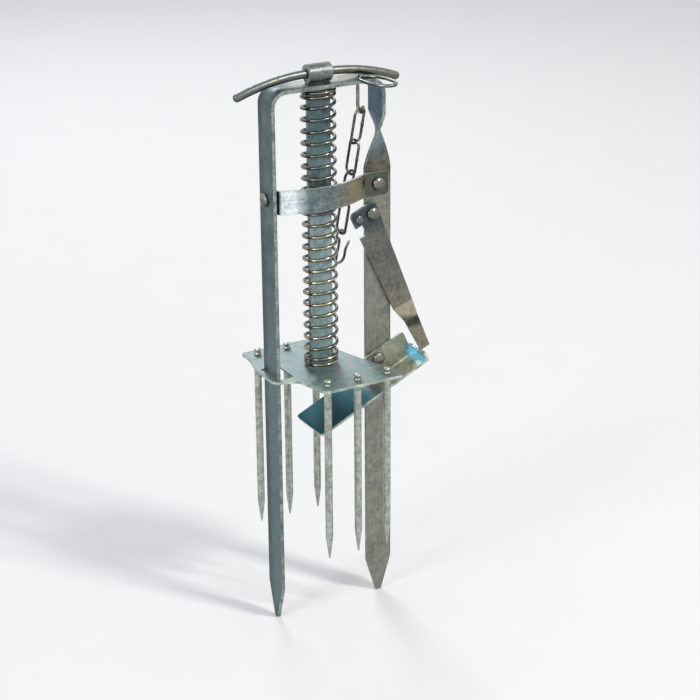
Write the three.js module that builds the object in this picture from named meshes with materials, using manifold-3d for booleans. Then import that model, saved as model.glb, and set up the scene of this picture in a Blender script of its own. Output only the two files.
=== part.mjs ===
// Plunger mole trap: a strap frame on two stakes, a spring-driven spike plate and a see-saw trigger.
// Millimetres, +Z up. The origin is on the plunger's axis, at the underside of the lowered plate.
import * as THREE from "three";
import * as BufferGeometryUtils from "three/addons/utils/BufferGeometryUtils.js";
import Module from "manifold-3d";

const wasm = await Module();
wasm.setup();

// Directions
const right = new THREE.Vector3(1, 0, 0);
const left = right.clone().negate();
const back = new THREE.Vector3(0, 1, 0);
const front = back.clone().negate();
const up = new THREE.Vector3(0, 0, 1);
const down = up.clone().negate();
const quarterTurn = Math.PI / 2;
const halfTurn = Math.PI;
const fullTurn = Math.PI * 2;
const degree = Math.PI / 180;

// Clearances and facets
const gap = 0.3;
const rivetClearance = 0.3;
const cutOverrun = 2;
const roundSides = 20;
const shankSides = 12;
const wireSides = 8;
const cornerFacets = 6;
const eyeFacets = 10;
const bendFacets = 4;

// Frame strap, bent into an upturned U whose ends are stakes
const strapWidth = 20;
const strapThickness = 2.6;
const leftLegReach = 38.5;
const rightLegReach = 45;
const bridgeCornerRadius = 11;
const stakeDepth = 188;
const stakePointLength = 26;
const stakeTipWidth = 4;
const twistDrop = 24;
const twistLength = 38;
const cornerSteps = 9;
const twistSteps = 16;

// Spike plate
const plateThickness = 2;
const plateHalfDepth = 46;
const plateFrontReach = 40;
const plateShortReach = 21.5;
const plateWaistReach = 28;
const plateRightWaistInset = 23.2;
const plateWaistDepth = 19.5;
const plateCornerRadius = 3;
const legSlotInset = 11;
const legSlotOverhang = 2.2;
const legSlotHalfDepth = 12;
const legSlotCornerRadius = 2.5;
const lobeRim = 2.6;
const notchFrontDepth = 12;
const notchInset = 14;

// Spikes: two staggered rows of three
const spikeRadius = 2.65;
const spikeLength = 130;
const spikePointLength = 17;
const spikeRowInset = 8;
const spikeSpacing = 23.25;
const spikeStagger = 7.75;
const spikeNeckRadius = 2.1;
const spikeCollarRadius = 3.2;
const spikeCollarHeight = 1.5;
const spikeHeadRadius = 2.6;
const spikeWaistRadius = 1.9;
const spikeHeadHeight = 4.4;
const spikeHeadShares = { waist: 0.4, rim: 0.72, crown: 0.93, crownRadius: 0.8 };

// Plunger bar and its T-handle
const barWidth = 17;
const barThickness = 3.2;
const tenonWidth = 9;
const tenonProud = 1;
const eyeWall = 3;
const handleRadius = 3;
const handleHalfLength = 62;
const handleDroop = 10.5;
const handleEndRounding = 2.4;
const handleSteps = 18;
const endSteps = 4;

// Main spring
const springLength = 198.4;
const springRadius = 12.35;
const springWire = 2.3;
const springCurls = 26;
const springClosedPitch = 2.85;
const springEndCurls = { closed: 1, easing: 1 };
const springStepsPerCurl = 8;
const springSides = 5;

// Front band
const bandHeight = 16.6;
const bandThickness = 2;
const bandDrop = 65.1;
const bandCrown = 15.6;
const bandCrownReach = 2;
const bandTabInset = 3;
const bandBendInset = 11.5;
const bandLeftBendInset = 8;
const bandLeftBendDepth = 10.8;
const bandLeftTabDepth = 4;
const bandLeftTabEnd = 9;
const bandCornerRadius = 3;
const bandRivetDepth = 2.2;
const bandRivetInset = 1;
const bandCurveSteps = 10;
const bandRightShares = { leave: 0.8, leaveDepth: 0.3, crown: 0.42 };
const bandLeftShares = { crown: 0.42, arrive: 0.8, arriveDepth: 1.15, cornerDepth: 0.8 };

// Rivets
const rivetRadius = 2.4;
const rivetHeadRadius = 4.8;
const rivetHeadHeight = 3.1;
const rivetBackRadius = 3.9;
const rivetBackHeight = 1.6;
const headArcSteps = 5;
const rivetBackShares = { radius: 0.7, height: 0.8 };

// Trigger arm, a tapered strap that hangs from a pivot above its upper end
const armThickness = 2.2;
const armPivotInset = 5.5;
const armPivotDrop = 20.8;
const armTop = 8.2;
const armLeftEdge = 16.2;
const armRightEdge = 5.2;
const armTopRounding = 4.2;
const armJoggleRise = 35.3;
const armTipRun = 27;
const armEndPast = 10.34;
const armEndRise = 1.62;
const armJoggleForward = 8.3;
const armJoggleStartLeft = 13.3;
const armJoggleStartRight = 2.6;
const armJoggleEndLeft = 12.1;
const armJoggleEndRight = -1.3;
const armTipLeft = 9.4;
const armTipRight = -1.7;
const armNotchTop = 3.4;
const armNotchBottom = 12;
const armNotchDepth = 6.2;
const catchPinReach = 10.9;
const catchPinRise = 1.4;
const catchPinRadius = 1.8;
const catchPinHeadRadius = 3.1;
const catchPinHeadHeight = 1.3;
const catchPinRecess = 1.2;

// Trigger pan, a see-saw of sheet with an upturned web beside the right stake
const panThickness = 1.8;
const panSlope = 25 * degree;
const panPivotInset = 1;
const panPivotDrop = 1.9;
const panDrop = 14;
const panLength = 67.3;
const panHalfWidth = 19.2;
const panShoulder = 20;
const panCornerRadius = 3;
const webLeft = 9;
const webRight = 25;
const webTop = 6.5;
const webCornerCut = 2.2;
const webBendRadius = 3;
const flangeRight = 28;
const lipHeight = 7;

// Safety chain
const hookWireRadius = 1.2;
const hookHoleInset = 16.4;
const hookHoleDepth = 3.1;
const hookHoleClearance = 0.5;
const ringHalfLength = 16;
const ringHalfWidth = 8.4;
const ringNeck = 4;
const ringTurn = -78 * degree;
const ringOpening = 26 * degree;
const ringSteps = 14;
const hookShankLength = 21;
const hookBendRadius = 3.5;
const hookTail = 2;
const ringBendShare = 0.3;
const bendSteps = 6;
const linkLength = 29;
const linkWidth = 10.5;
const linkWireRadius = 1;
const linkCount = 4;
const linkArcSteps = 6;
const chainLeanRight = 0.4;
const chainLeanBack = 33;
const chainFall = 104.5;
const chainTurn = 15 * degree;
const catchHookWireRadius = 1;
const catchEyeRadius = 3.3;
const catchShankLength = 19;
const catchBendRadius = 4;
const catchTipLength = 13;
const catchTipFlare = 2.6;
const catchEyeOpening = 55 * degree;
const catchEyeSteps = 12;
const hookSteps = 64;
const catchSteps = 36;

// Places that follow from the sizes
const plateTop = plateThickness;
const springBottom = plateTop + gap;
const bridgeUnderside = springBottom + springLength + gap;
const bridgeMiddle = bridgeUnderside + strapThickness / 2;
const bridgeTop = bridgeUnderside + strapThickness;
const rightLegFront = -strapThickness / 2;
const notchReach = rightLegReach - notchInset;
const legSlotInner = leftLegReach - legSlotInset;
const hookHoleReach = rightLegReach - hookHoleInset;
const spikeRowDepth = plateHalfDepth - spikeRowInset;
const bandMiddle = bridgeUnderside - bandDrop - bandHeight / 2;
const bandBendReach = rightLegReach - bandBendInset;
const bandLeftBend = leftLegReach - bandLeftBendInset;
const armPivotHeight = bandMiddle - armPivotDrop;
const spikeXs = [-1, 0, 1].map((step) => step * spikeSpacing + spikeStagger);

const root = new THREE.Group();
const boxUnit = new THREE.BoxGeometry(1, 1, 1);

function steel(color, roughness, metalness) {
  return new THREE.MeshStandardMaterial({ color, roughness, metalness });
}

function addPart(name, geometry, material, parent = root) {
  const mesh = new THREE.Mesh(geometry, material);
  mesh.name = name;
  parent.add(mesh);
  return mesh;
}

// Solid operations
function toSolid(geometry) {
  const bare = geometry.clone();
  bare.deleteAttribute("normal");
  bare.deleteAttribute("uv");
  const merged = BufferGeometryUtils.mergeVertices(bare);
  const vertProperties = new Float32Array(merged.attributes.position.array);
  const triVerts = new Uint32Array(merged.index.array);
  return new wasm.Manifold(new wasm.Mesh({ numProp: 3, vertProperties, triVerts }));
}

function toGeometry(manifold) {
  const { vertProperties, triVerts } = manifold.getMesh();
  const geometry = new THREE.BufferGeometry();
  geometry.setAttribute("position", new THREE.BufferAttribute(vertProperties, 3));
  geometry.setIndex(new THREE.BufferAttribute(triVerts, 1));
  return geometry;
}

function cut(base, tools) {
  return toGeometry(tools.reduce((body, tool) => body.subtract(toSolid(tool)), toSolid(base)));
}

function join(pieces) {
  return toGeometry(pieces.map(toSolid).reduce((body, piece) => body.add(piece)));
}

function keepInside(base, outline) {
  return toGeometry(toSolid(base).intersect(toSolid(outline)));
}

// A box between two corners
function boxBetween(low, high) {
  const size = high.clone().sub(low);
  const middle = high.clone().add(low).multiplyScalar(0.5);
  return boxUnit.clone().scale(size.x, size.y, size.z).translate(middle.x, middle.y, middle.z);
}

// A round bar about a centre, along a direction
function roundBar(centre, direction, radius, length, sides = roundSides) {
  const bar = new THREE.CylinderGeometry(radius, radius, length, sides);
  bar.applyQuaternion(new THREE.Quaternion().setFromUnitVectors(back, direction));
  return bar.translate(centre.x, centre.y, centre.z);
}

// A skin over a row of rings; the row is capped at its ends unless it closes on itself
function loft(rings, closes = false) {
  const sides = rings[0].length;
  const spans = closes ? rings.length : rings.length - 1;
  const faces = [];
  for (let span = 0; span < spans; span += 1) {
    const near = span * sides;
    const far = ((span + 1) % rings.length) * sides;
    for (let side = 0; side < sides; side += 1) {
      const next = (side + 1) % sides;
      faces.push(near + side, near + next, far + next);
      faces.push(near + side, far + next, far + side);
    }
  }
  if (!closes) {
    const last = (rings.length - 1) * sides;
    for (let side = 1; side < sides - 1; side += 1) {
      faces.push(0, side + 1, side);
      faces.push(last, last + side, last + side + 1);
    }
  }
  const geometry = new THREE.BufferGeometry().setFromPoints(rings.flat());
  geometry.setIndex(faces);
  return geometry;
}

// A rectangular section of a strap
function strapRing(centre, across, outward, halfWidth, halfThickness) {
  const corners = [[1, 1], [-1, 1], [-1, -1], [1, -1]];
  return corners.map(([acrossSign, outwardSign]) => centre.clone()
    .addScaledVector(across, acrossSign * halfWidth)
    .addScaledVector(outward, outwardSign * halfThickness));
}

// A round section of a rod or wire
function roundRing(centre, across, outward, radius, sides) {
  const angles = Array.from({ length: sides }, (_, side) => side * fullTurn / sides);
  return angles.map((angle) => centre.clone()
    .addScaledVector(across, radius * Math.cos(angle))
    .addScaledVector(outward, radius * Math.sin(angle)));
}

// A wire of one radius along a curve
function wireAlong(curve, radius, steps, sides = wireSides) {
  const corners = Array.from({ length: sides }, (_, side) => {
    const angle = side * fullTurn / sides;
    return new THREE.Vector2(radius * Math.cos(angle), radius * Math.sin(angle));
  });
  const options = { steps, extrudePath: curve, bevelEnabled: false };
  return new THREE.ExtrudeGeometry(new THREE.Shape(corners), options);
}

// A sheet whose outline is drawn in X and Z; its back face is at y = 0 and its front towards -Y
function uprightSheet(outline, thickness) {
  const sheet = new THREE.ExtrudeGeometry(outline, { depth: thickness, bevelEnabled: false });
  return sheet.rotateX(quarterTurn);
}

// A sheet whose outline is drawn in X and Y, rising from z = 0
function flatSheet(outline, thickness) {
  const options = { depth: thickness, bevelEnabled: false, curveSegments: cornerFacets };
  return new THREE.ExtrudeGeometry(outline, options);
}

// An outline through corners given as [x, y, radius]
function roundedOutline(corners) {
  const outline = new THREE.Shape();
  corners.forEach(([x, y, radius], index) => {
    const before = corners[(index + corners.length - 1) % corners.length];
    const after = corners[(index + 1) % corners.length];
    const corner = new THREE.Vector2(x, y);
    const towardsBefore = new THREE.Vector2(before[0], before[1]).sub(corner).normalize();
    const towardsAfter = new THREE.Vector2(after[0], after[1]).sub(corner).normalize();
    const start = corner.clone().addScaledVector(towardsBefore, radius);
    const end = corner.clone().addScaledVector(towardsAfter, radius);
    if (index === 0) {
      outline.moveTo(start.x, start.y);
    } else {
      outline.lineTo(start.x, start.y);
    }
    if (radius > 0) {
      outline.quadraticCurveTo(x, y, end.x, end.y);
    }
  });
  outline.closePath();
  return outline;
}

// A domed rivet along +Y: its back head starts below y = 0 and its front head above the grip
function rivetGeometry(size) {
  const profile = [new THREE.Vector2(0, -size.backHeight)];
  const edge = size.backRadius * rivetBackShares.radius;
  profile.push(new THREE.Vector2(edge, -size.backHeight * rivetBackShares.height));
  profile.push(new THREE.Vector2(size.backRadius, 0));
  profile.push(new THREE.Vector2(size.shank, 0));
  profile.push(new THREE.Vector2(size.shank, size.grip));
  for (let step = 0; step < headArcSteps; step += 1) {
    const angle = step * quarterTurn / headArcSteps;
    const y = size.grip + size.headHeight * Math.sin(angle);
    profile.push(new THREE.Vector2(size.headRadius * Math.cos(angle), y));
  }
  profile.push(new THREE.Vector2(0, size.grip + size.headHeight));
  return new THREE.LatheGeometry(profile, roundSides);
}

function placeRivet(size, backFace, direction) {
  const rivet = rivetGeometry(size);
  rivet.applyQuaternion(new THREE.Quaternion().setFromUnitVectors(back, direction));
  return rivet.translate(backFace.x, backFace.y, backFace.z);
}

// A rivet through a stack of sheets, with the clearances on both sides of each
function stackRivet(stack) {
  return {
    grip: stack + 2 * gap,
    shank: rivetRadius,
    headRadius: rivetHeadRadius,
    headHeight: rivetHeadHeight,
    backRadius: rivetBackRadius,
    backHeight: rivetBackHeight,
  };
}

const armPivot = new THREE.Vector3(rightLegReach - armPivotInset, rightLegFront - gap, armPivotHeight);
const panPivot = new THREE.Vector3(rightLegReach - panPivotInset, rightLegFront - gap, -panPivotDrop);

// The arm reaches from its pivot to just past the corner of the pan's lip
const lipCorner = new THREE.Vector3(flangeRight, 0, lipHeight - panDrop)
  .applyAxisAngle(back, -panSlope)
  .add(panPivot);
const armRun = lipCorner.x + armEndPast - armPivot.x;
const armFall = armPivot.z - lipCorner.z - armEndRise;
const armLean = Math.atan2(armRun, armFall);
const armLength = Math.hypot(armRun, armFall);
const armJoggleStart = armLength - armJoggleRise;
const armJoggleEnd = armLength - armTipRun;
const bandRivetRight = new THREE.Vector3(rightLegReach - bandRivetInset, 0, bandMiddle);
const bandRivetLeft = new THREE.Vector3(-leftLegReach, bandRivetDepth, bandMiddle);
const hookHole = new THREE.Vector3(hookHoleReach, -hookHoleDepth, bridgeMiddle);

// Frame strap: stations run up the left stake, over the bridge and down the right stake
function frameStations() {
  const halfWidth = strapWidth / 2;
  const bend = bridgeCornerRadius - strapThickness / 2;
  const stations = [];
  const addStation = (x, z, across, outward, half = halfWidth) => {
    stations.push({ centre: new THREE.Vector3(x, 0, z), across, outward, half });
  };
  addStation(-leftLegReach, -stakeDepth, back, left, stakeTipWidth / 2);
  addStation(-leftLegReach, stakePointLength - stakeDepth, back, left);
  for (let step = 0; step <= cornerSteps; step += 1) {
    const angle = step * quarterTurn / cornerSteps;
    const outward = new THREE.Vector3(-Math.cos(angle), 0, Math.sin(angle));
    const x = bend - leftLegReach + bend * outward.x;
    addStation(x, bridgeMiddle - bend + bend * outward.z, back, outward);
  }
  for (let step = cornerSteps; step >= 0; step -= 1) {
    const angle = step * quarterTurn / cornerSteps;
    const outward = new THREE.Vector3(Math.cos(angle), 0, Math.sin(angle));
    const x = rightLegReach - bend + bend * outward.x;
    addStation(x, bridgeMiddle - bend + bend * outward.z, back, outward);
  }
  for (let step = 0; step <= twistSteps; step += 1) {
    const turn = step * quarterTurn / twistSteps;
    const across = back.clone().applyAxisAngle(down, turn);
    const outward = right.clone().applyAxisAngle(down, turn);
    const z = bridgeUnderside - twistDrop - step * twistLength / twistSteps;
    addStation(rightLegReach, z, across, outward);
  }
  addStation(rightLegReach, stakePointLength - stakeDepth, right, front);
  addStation(rightLegReach, -stakeDepth, right, front, stakeTipWidth / 2);
  return stations;
}

function buildFrame() {
  const half = strapThickness / 2;
  const rings = frameStations().map((station) => (
    strapRing(station.centre, station.across, station.outward, station.half, half)));
  const holeLength = strapThickness + 2 * cutOverrun;
  const hole = rivetRadius + rivetClearance;
  const slotReach = barWidth / 2 + gap;
  const slotDepth = barThickness / 2 + gap;
  const slotLow = new THREE.Vector3(-slotReach, -slotDepth, bridgeUnderside - cutOverrun);
  const slotHigh = new THREE.Vector3(slotReach, slotDepth, bridgeTop + cutOverrun);
  const armHole = new THREE.Vector3(armPivot.x, 0, armPivot.z);
  const panHole = new THREE.Vector3(panPivot.x, 0, panPivot.z);
  return cut(loft(rings), [
    boxBetween(slotLow, slotHigh),
    roundBar(hookHole, up, hookWireRadius + hookHoleClearance, holeLength, shankSides),
    roundBar(bandRivetLeft, right, hole, holeLength),
    roundBar(bandRivetRight, back, hole, holeLength),
    roundBar(armHole, back, hole, holeLength),
    roundBar(panHole, back, hole, holeLength),
  ]);
}

// Front band: a flat tab on the right stake, a bow in front of the spring and a tab inside the left stake
function bandPath() {
  const tabPlane = rightLegFront - gap - bandThickness / 2;
  const leftPlane = -leftLegReach + strapThickness / 2 + gap + bandThickness / 2;
  const path = new THREE.Path();
  path.moveTo(rightLegReach + strapWidth / 2 - bandTabInset, tabPlane);
  path.lineTo(bandBendReach, tabPlane);
  const leaveDepth = tabPlane - (bandCrown + tabPlane) * bandRightShares.leaveDepth;
  path.bezierCurveTo(
    bandBendReach * bandRightShares.leave, leaveDepth,
    bandBendReach * bandRightShares.crown, -bandCrown,
    -bandCrownReach, -bandCrown);
  path.bezierCurveTo(
    -bandLeftBend * bandLeftShares.crown, -bandCrown,
    -bandLeftBend * bandLeftShares.arrive, -bandLeftBendDepth * bandLeftShares.arriveDepth,
    -bandLeftBend, -bandLeftBendDepth);
  const cornerDepth = bandLeftBendDepth * bandLeftShares.cornerDepth;
  path.quadraticCurveTo(leftPlane, -cornerDepth, leftPlane, -bandLeftTabDepth);
  path.lineTo(leftPlane, bandLeftTabEnd);
  return path;
}

function buildBand() {
  const plan = bandPath().getPoints(bandCurveSteps);
  const first = plan[0];
  const second = plan[1];
  const last = plan[plan.length - 1];
  const beforeLast = plan[plan.length - 2];
  const roundedEnd = (end, inner) => Array.from({ length: endSteps }, (_, step) => {
    const angle = step * quarterTurn / endSteps;
    const run = bandCornerRadius * (1 - Math.cos(angle));
    const drop = bandCornerRadius * (1 - Math.sin(angle));
    const inward = inner.clone().sub(end).normalize();
    return { place: end.clone().addScaledVector(inward, run), half: bandHeight / 2 - drop };
  });
  const fullHeight = (place) => ({ place, half: bandHeight / 2 });
  const stations = [
    ...roundedEnd(first, second),
    fullHeight(first.clone().lerp(second, bandCornerRadius / first.distanceTo(second))),
    ...plan.slice(1, -1).map(fullHeight),
    fullHeight(last.clone().lerp(beforeLast, bandCornerRadius / last.distanceTo(beforeLast))),
    ...roundedEnd(last, beforeLast).reverse(),
  ];
  const rings = stations.map((station, index) => {
    const ahead = stations[Math.min(index + 1, stations.length - 1)].place;
    const behind = stations[Math.max(index - 1, 0)].place;
    const heading = ahead.clone().sub(behind).normalize();
    const sideways = new THREE.Vector3(heading.y, -heading.x, 0);
    const centre = new THREE.Vector3(station.place.x, station.place.y, bandMiddle);
    return strapRing(centre, up, sideways, station.half, bandThickness / 2);
  });
  const hole = rivetRadius + rivetClearance;
  const reach = strapWidth / 2;
  return cut(loft(rings), [
    roundBar(bandRivetLeft, right, hole, reach),
    roundBar(bandRivetRight, back, hole, reach),
  ]);
}

// Spike plate: the same outline turned half a turn about the plunger, less an open notch at the right stake
function plateOutline() {
  const lobeReach = leftLegReach + strapThickness / 2 + legSlotOverhang + lobeRim;
  const lobeDepth = legSlotHalfDepth + lobeRim;
  return roundedOutline([
    [-plateShortReach, -plateHalfDepth, plateCornerRadius],
    [plateFrontReach, -plateHalfDepth, plateCornerRadius],
    [plateFrontReach, -spikeRowDepth + 3 * spikeHeadRadius, plateCornerRadius],
    [notchReach, -notchFrontDepth, plateCornerRadius],
    [rightLegReach - plateRightWaistInset, plateWaistDepth, plateCornerRadius],
    [plateShortReach, plateHalfDepth, plateCornerRadius],
    [-plateFrontReach, plateHalfDepth, plateCornerRadius],
    [-plateFrontReach, spikeRowDepth - 2 * spikeHeadRadius, plateCornerRadius],
    [-lobeReach, lobeDepth, 2 * plateCornerRadius],
    [-lobeReach, -lobeDepth, 2 * plateCornerRadius],
    [-plateWaistReach, -plateWaistDepth, plateCornerRadius],
  ]);
}

function plateHoles() {
  const slotOuter = leftLegReach + strapThickness / 2 + legSlotOverhang;
  const corner = legSlotCornerRadius;
  const tenonHalf = tenonWidth / 2 + gap;
  const tenonDepth = barThickness / 2 + gap;
  const legSlot = roundedOutline([
    [-slotOuter, -legSlotHalfDepth, corner],
    [-legSlotInner, -legSlotHalfDepth, corner],
    [-legSlotInner, legSlotHalfDepth, corner],
    [-slotOuter, legSlotHalfDepth, corner],
  ]);
  const tenonSlot = new THREE.Path();
  tenonSlot.moveTo(-tenonHalf, -tenonDepth);
  tenonSlot.lineTo(tenonHalf, -tenonDepth);
  tenonSlot.lineTo(tenonHalf, tenonDepth);
  tenonSlot.lineTo(-tenonHalf, tenonDepth);
  tenonSlot.closePath();
  const spikeHoles = spikePlaces().map(({ x, y }) => (
    new THREE.Path().absarc(x, y, spikeNeckRadius + gap, 0, fullTurn)));
  return [legSlot, tenonSlot, ...spikeHoles];
}

// The rows are staggered: the back one is the front one turned half a turn
function spikePlaces() {
  const frontRow = spikeXs.map((x) => new THREE.Vector2(x, -spikeRowDepth));
  const backRow = spikeXs.map((x) => new THREE.Vector2(-x, spikeRowDepth));
  return [...frontRow, ...backRow];
}

function buildPlate() {
  const outline = plateOutline();
  outline.holes = plateHoles();
  return flatSheet(outline, plateThickness);
}

// Spike: a pointed pin with a collar under the plate and a peened head above it
function buildSpike() {
  const headBase = plateTop + gap;
  const headTop = headBase + spikeHeadHeight;
  const profile = [
    [0, -spikeLength],
    [spikeRadius, spikePointLength - spikeLength],
    [spikeRadius, -gap - spikeCollarHeight],
    [spikeCollarRadius, -gap - spikeCollarHeight],
    [spikeCollarRadius, -gap],
    [spikeNeckRadius, -gap],
    [spikeNeckRadius, headBase],
    [spikeHeadRadius, headBase],
    [spikeWaistRadius, headBase + spikeHeadHeight * spikeHeadShares.waist],
    [spikeHeadRadius, headBase + spikeHeadHeight * spikeHeadShares.rim],
    [spikeHeadRadius * spikeHeadShares.crownRadius, headBase + spikeHeadHeight * spikeHeadShares.crown],
    [0, headTop],
  ];
  const points = profile.map(([radius, z]) => new THREE.Vector2(radius, z));
  return new THREE.LatheGeometry(points, shankSides).rotateX(quarterTurn);
}

// Plunger bar: a flat bar with a rolled eye at its top and a tenon through the plate
const eyeRadius = handleRadius + gap + eyeWall;
const eyeMiddle = bridgeTop + gap + eyeRadius;

function buildPlungerBar() {
  const half = barThickness / 2;
  const shoulder = plateTop + gap;
  const meet = Math.asin(half / eyeRadius);
  const profile = new THREE.Shape();
  profile.moveTo(half, -gap - tenonProud);
  profile.lineTo(half, eyeMiddle - eyeRadius * Math.cos(meet));
  profile.absarc(0, eyeMiddle, eyeRadius, meet - quarterTurn, halfTurn + quarterTurn - meet);
  profile.lineTo(-half, -gap - tenonProud);
  profile.closePath();
  profile.holes = [new THREE.Path().absarc(0, eyeMiddle, handleRadius + gap, 0, fullTurn)];
  const options = { depth: barWidth, bevelEnabled: false, curveSegments: eyeFacets };
  const bar = new THREE.ExtrudeGeometry(profile, options);
  bar.translate(0, 0, -barWidth / 2);
  bar.applyMatrix4(new THREE.Matrix4().makeBasis(back, up, right));
  const depth = barThickness + cutOverrun;
  const sides = [-1, 1].map((sign) => {
    const inner = sign * tenonWidth / 2;
    const outer = sign * (barWidth / 2 + cutOverrun);
    const low = new THREE.Vector3(Math.min(inner, outer), -depth, -gap - tenonProud - cutOverrun);
    return boxBetween(low, new THREE.Vector3(Math.max(inner, outer), depth, shoulder));
  });
  return cut(bar, sides);
}

// T-handle: a rod that is level in the eye and droops towards both rounded ends
function handleHeight(x) {
  const level = barWidth / 2;
  const share = Math.max(0, Math.abs(x) - level) / (handleHalfLength - level);
  return eyeMiddle - handleDroop * share * share;
}

function buildHandle() {
  const straight = handleHalfLength - handleEndRounding;
  const ends = Array.from({ length: endSteps }, (_, step) => {
    const angle = (step + 0.5) * quarterTurn / endSteps;
    return { x: straight + handleEndRounding * Math.cos(angle), radius: handleRadius * Math.sin(angle) };
  });
  const middle = Array.from({ length: handleSteps + 1 }, (_, step) => (
    { x: straight * (1 - 2 * step / handleSteps), radius: handleRadius }));
  const mirrored = ends.map(({ x, radius }) => ({ x: -x, radius })).reverse();
  const rings = [...ends, ...middle, ...mirrored].map(({ x, radius }) => {
    const tilt = (handleHeight(x + gap) - handleHeight(x - gap)) / (2 * gap);
    const outward = new THREE.Vector3(-tilt, 0, 1).normalize();
    return roundRing(new THREE.Vector3(x, 0, handleHeight(x)), outward, back, radius, shankSides);
  });
  return loft(rings);
}

// Main spring: one wire, with a closed curl at each end and an even pitch between
class SpringCurve extends THREE.Curve {
  getPoint(share, target = new THREE.Vector3()) {
    const curl = share * springCurls;
    const fromBottom = Math.min(curl, springCurls - curl);
    const rise = springLength - springWire;
    const { closed, easing } = springEndCurls;
    const tightCurls = 2 * closed + easing;
    const openPitch = (rise - tightCurls * springClosedPitch) / (springCurls - tightCurls);
    const easingCurls = Math.min(Math.max(fromBottom - closed, 0), easing);
    const openCurls = Math.max(fromBottom - closed - easing, 0);
    const widening = (openPitch - springClosedPitch) * easingCurls * easingCurls / (2 * easing);
    const eased = easingCurls * springClosedPitch + widening;
    const height = Math.min(fromBottom, closed) * springClosedPitch + eased + openCurls * openPitch;
    const z = curl <= springCurls / 2 ? height : rise - height;
    const angle = curl * fullTurn;
    const middle = springRadius - springWire / 2;
    const bottom = springBottom + springWire / 2;
    return target.set(middle * Math.cos(angle), middle * Math.sin(angle), bottom + z);
  }
}

function leastGap(points, wire, apart) {
  let least = Infinity;
  points.forEach((point, index) => {
    for (let other = index + apart; other < points.length; other += 1) {
      least = Math.min(least, point.distanceTo(points[other]) - wire);
    }
  });
  return least;
}

function buildSpring() {
  const curve = new SpringCurve();
  const steps = springCurls * springStepsPerCurl;
  const spacing = leastGap(curve.getSpacedPoints(steps), springWire, springStepsPerCurl / 2);
  console.log(`main_spring: least gap between curls ${spacing.toFixed(2)} mm`);
  return wireAlong(curve, springWire / 2, steps, springSides);
}

// Trigger arm, drawn about its pivot: x is across the strap, z along it, and its back face is at y = 0
function armStations() {
  const run = armJoggleStart + armTop;
  const straight = Array.from({ length: endSteps + 1 }, (_, step) => {
    const angle = step * quarterTurn / endSteps;
    const drop = armTopRounding * (1 - Math.cos(angle));
    const inset = armTopRounding * (1 - Math.sin(angle));
    const leftTaper = (armLeftEdge - armJoggleStartLeft) * drop / run;
    const rightTaper = (armRightEdge - armJoggleStartRight) * drop / run;
    return {
      z: armTop - drop,
      left: armLeftEdge - leftTaper - inset,
      right: armRightEdge - rightTaper - inset,
    };
  });
  return [
    ...straight,
    { z: -armJoggleStart, left: armJoggleStartLeft, right: armJoggleStartRight },
    { z: -armJoggleEnd, left: armJoggleEndLeft, right: armJoggleEndRight, forward: armJoggleForward },
    { z: -armLength, left: armTipLeft, right: armTipRight, forward: armJoggleForward },
  ];
}

function buildArm() {
  const rings = armStations().map((station) => {
    const middle = (station.right - station.left) / 2;
    const half = (station.right + station.left) / 2;
    const y = -armThickness / 2 - (station.forward ?? 0);
    return strapRing(new THREE.Vector3(middle, y, station.z), right, front, half, armThickness / 2);
  });
  const notchLow = new THREE.Vector3(-armLeftEdge - cutOverrun, -armThickness - cutOverrun, -armNotchBottom);
  const notchHigh = new THREE.Vector3(armNotchDepth - armLeftEdge, cutOverrun, -armNotchTop);
  const length = 2 * armThickness + cutOverrun;
  const pivot = new THREE.Vector3();
  const pin = new THREE.Vector3(-catchPinReach, 0, catchPinRise);
  const recess = pin.clone().addScaledVector(back, cutOverrun / 2 - catchPinRecess);
  return cut(loft(rings), [
    roundBar(recess, back, catchPinHeadRadius + gap, cutOverrun),
    boxBetween(notchLow, notchHigh),
    roundBar(pivot, back, rivetRadius + rivetClearance, length),
    roundBar(pin, back, catchPinRadius + gap, length, shankSides),
  ]);
}

// Trigger pan, drawn about its pivot: x runs up the slope, y is depth, z is square to the sheet
function panOutline() {
  return roundedOutline([
    [-panLength, -panHalfWidth, panCornerRadius],
    [-webLeft + panThickness, -panHalfWidth, 0],
    [-webLeft + panThickness, 0, 0],
    [-panShoulder, 0, 0],
    [-panShoulder, panHalfWidth, panCornerRadius],
    [-panLength, panHalfWidth, panCornerRadius],
  ]);
}

// The web and the flange are one sheet bent along the slope
function bentSection() {
  const bottom = -panDrop - panThickness / 2;
  const top = -panDrop + panThickness / 2;
  const outer = webBendRadius;
  const inner = webBendRadius - panThickness;
  const section = new THREE.Shape();
  section.moveTo(-panHalfWidth, bottom);
  section.lineTo(-outer, bottom);
  section.absarc(-outer, bottom + outer, outer, -quarterTurn, 0);
  section.lineTo(0, webTop);
  section.lineTo(-panThickness, webTop);
  section.lineTo(-panThickness, top + inner);
  section.absarc(-panThickness - inner, top + inner, inner, 0, -quarterTurn, true);
  section.lineTo(-panHalfWidth, top);
  section.closePath();
  return section;
}

function webOutline() {
  const bottom = -panDrop - panThickness;
  const lipTop = lipHeight - panDrop;
  return roundedOutline([
    [-webLeft, bottom, 0],
    [flangeRight, bottom, 0],
    [flangeRight, lipTop, 0],
    [webRight, lipTop + webCornerCut, 0],
    [webRight, webTop, webCornerCut],
    [-webLeft, webTop, webCornerCut],
  ]);
}

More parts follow.
